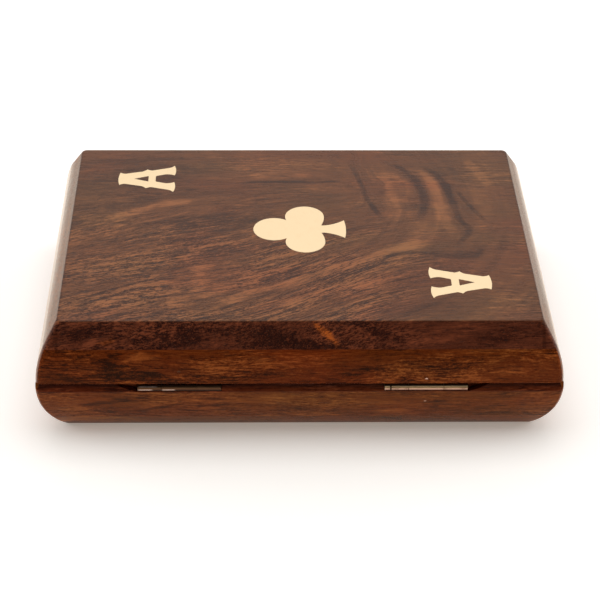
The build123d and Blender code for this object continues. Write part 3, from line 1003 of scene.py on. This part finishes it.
def smooth_copy(node, name, material):
    shape = bmesh.new()
    shape.from_mesh(frame["nodes"][node].data)
    bmesh.ops.remove_doubles(shape, verts=shape.verts, dist=merge_distance)
    piece = add_object(name, shape, material)
    mesh = piece.data
    mesh.attributes.remove(mesh.attributes["custom_normal"])
    mesh.shade_smooth()
    mesh.set_sharp_from_angle(angle=math.radians(edge_degrees))
    weighted = piece.modifiers.new("even shading", "WEIGHTED_NORMAL")
    weighted.keep_sharp = True
    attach(piece, piece_bodies[node])
    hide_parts(node)
    print(piece.name, len(mesh.polygons), "faces")


print("helpers: add_object, smooth_copy")

# %% Every board and rail
wooden = {
    "lid_top_board": lid_board_wood,
    "lid_back_rail": lid_long_wood,
    "lid_front_rail": lid_long_wood,
    "lid_left_rail": lid_short_wood,
    "lid_right_rail": lid_short_wood,
    "base_bottom_board": base_board_wood,
    "base_back_rail": base_long_wood,
    "base_front_rail": base_long_wood,
    "base_left_rail": base_short_wood,
    "base_right_rail": base_short_wood,
    "divider": base_short_wood,
}
for node, material in wooden.items():
    smooth_copy(node, f"wood_{node}", material)

# %% The hinges and their nails
metal = {f"hinge_{side}_{part}": nickel
         for side in ("left", "right") for part in ("lid_leaf", "base_leaf", "pin")}
metal.update(hinge_nails_lid=lid_nail_metal, hinge_nails_base=base_nail_metal)
for node, material in metal.items():
    smooth_copy(node, f"metal_{node}", material)

# %% [markdown]
# The inlays are flat plates with sharp outlines, so their CAD meshes need no smoothing. They only
# get the brass.

# %% The inlays keep their CAD mesh
for node in ("inlay_letter_left", "inlay_letter_right", "inlay_club"):
    for slot in frame["nodes"][node].material_slots:
        slot.material = brass
print("inlays are dressed")

# %% [markdown]
# ## The felt linings
#
# A lining is a piece of felt cut to the inside of its compartment and glued down. The CAD has a
# plain slab for it. Here it is a sheet again: a grid with cells of about 1.6 mm is extruded to the
# felt's thickness, its free edge is rounded with a bevel, and its free face rises and falls by a
# few hundredths of a millimetre. A cloth simulation isn't needed for a sheet that lies flat. It
# rides with the board it rests on, and its flat size is printed.

# %% Felt sheets
cell_size, nap_depth = 0.0016, 0.00006


def felt_sheet(node, name, facing):
    low, high = (Vector(corner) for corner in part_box(node))
    wide, deep, thick = high - low
    shape = bmesh.new()
    columns, rows = round(wide / cell_size), round(deep / cell_size)
    bmesh.ops.create_grid(shape, x_segments=columns, y_segments=rows, size=0.5)
    bmesh.ops.scale(shape, vec=(wide, deep, 1), verts=shape.verts)
    raised = bmesh.ops.extrude_face_region(shape, geom=shape.faces[:])
    top = [v for v in raised["geom"] if isinstance(v, bmesh.types.BMVert)]
    bmesh.ops.translate(shape, vec=(0, 0, thick * facing), verts=top)
    bmesh.ops.recalc_face_normals(shape, faces=shape.faces)
    rim = [e for e in shape.edges if len(e.link_faces) == 2 and e.calc_face_angle(0) > 1.0
           and all(v in top for v in e.verts)]
    bmesh.ops.bevel(shape, geom=rim, offset=thick * 0.4, affect="EDGES", segments=2,
                    profile=0.5, material=-1)
    centre = (low + high) / 2
    centre.z = low.z if facing > 0 else high.z
    bmesh.ops.translate(shape, vec=centre, verts=shape.verts)
    for vertex in shape.verts:
        free = abs(vertex.co.z - centre.z) / thick
        if free > 0.7:
            nap = noise.noise(vertex.co * 300) * 0.5 + noise.noise(vertex.co * 900) * 0.5
            vertex.co.z -= facing * nap_depth * (1 + nap)
    piece = add_object(name, shape, felt)
    piece.data.shade_smooth()
    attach(piece, piece_bodies[node])
    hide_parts(node)
    print(name, "flat size in mm:", round(wide * 1000, 1), "x", round(deep * 1000, 1))


felt_sheet("felt_left_compartment", "felt_lining_left", 1)
felt_sheet("felt_right_compartment", "felt_lining_right", 1)
felt_sheet("felt_lid", "felt_lining_lid", -1)

# %% [markdown]
# ## Floor and light
#
# The floor is a large disc of white paper. It glows a little, as paper does between big lamps, so
# that it stays white in the picture. What the box's wax mirrors of it is a little warmer, which
# the light path tells apart from what the camera sees.

# %% Floor
floor_material, tree, shader = new_material("white studio paper")
vector = object_millimetres(tree)
tooth = noise_value(tree, vector, 0.8, 4.0, 0.6)
paper = mix_colour(tree, tooth, (0.90, 0.90, 0.90, 1), (0.93, 0.93, 0.93, 1))
mirrored = tree.nodes.new("ShaderNodeLightPath").outputs["Is Glossy Ray"]
paper = mix_colour(tree, mirrored, paper, (0.90, 0.82, 0.72, 1))
feed_all(tree, shader, {
    "Base Color": paper, "Roughness": 0.9, "Specular IOR Level": 0.1,
    "Emission Color": (1.0, 0.90, 0.78, 1), "Emission Strength": 0.26})
shape = bmesh.new()
bmesh.ops.create_circle(shape, cap_ends=True, segments=96, radius=3.0)
floor = add_object("studio_floor", shape, floor_material)
print("floor:", floor.name)

# %% [markdown]
# The room is bright behind the box and dark in front. That puts a soft gloss on the top and keeps
# the hinged side deep in colour. The camera itself sees the room white. One large softbox hangs
# overhead. Two weak ones at the sides lift the short ends, and the wax doesn't mirror those,
# because a hard patch of light would hide the figure.

# %% Light
world = bpy.data.worlds.new("studio")
bpy.context.scene.world = world
world.use_nodes = True
tree = world.node_tree
toward = tree.nodes.new("ShaderNodeTexCoord").outputs["Generated"]
behind = smooth_step(tree, split(tree, toward)["Y"], -0.55, 0.35, 0.12, 1.0)
seen = tree.nodes.new("ShaderNodeLightPath").outputs["Is Camera Ray"]
feed_all(tree, tree.nodes["Background"], {
    "Color": (1.0, 0.98, 0.95, 1), "Strength": calc(tree, "MAXIMUM", behind, seen)})


def softbox(name, power, width, height, spot, aim, mirrored=True):
    light = bpy.data.lights.new(name, "AREA")
    light.shape, light.size, light.size_y, light.energy = "RECTANGLE", width, height, power
    lamp = bpy.data.objects.new(name, light)
    lamp.location = spot
    lamp.rotation_euler = (Vector(aim) - Vector(spot)).to_track_quat("-Z", "Y").to_euler()
    lamp.visible_glossy = mirrored
    bpy.context.scene.collection.objects.link(lamp)


side_aim = (0, 0.05, 0.02)
softbox("overhead_softbox", 5.0, 1.0, 1.0, (0, 0.10, 1.2), (0, 0, 0))
softbox("left_softbox", 3.8, 0.9, 0.5, (-1.0, 0.20, 0.28), side_aim, mirrored=False)
softbox("right_softbox", 3.6, 0.9, 0.5, (1.0, 0.20, 0.28), side_aim, mirrored=False)
bpy.context.scene.view_settings.view_transform = "Standard"
print("lights are placed")
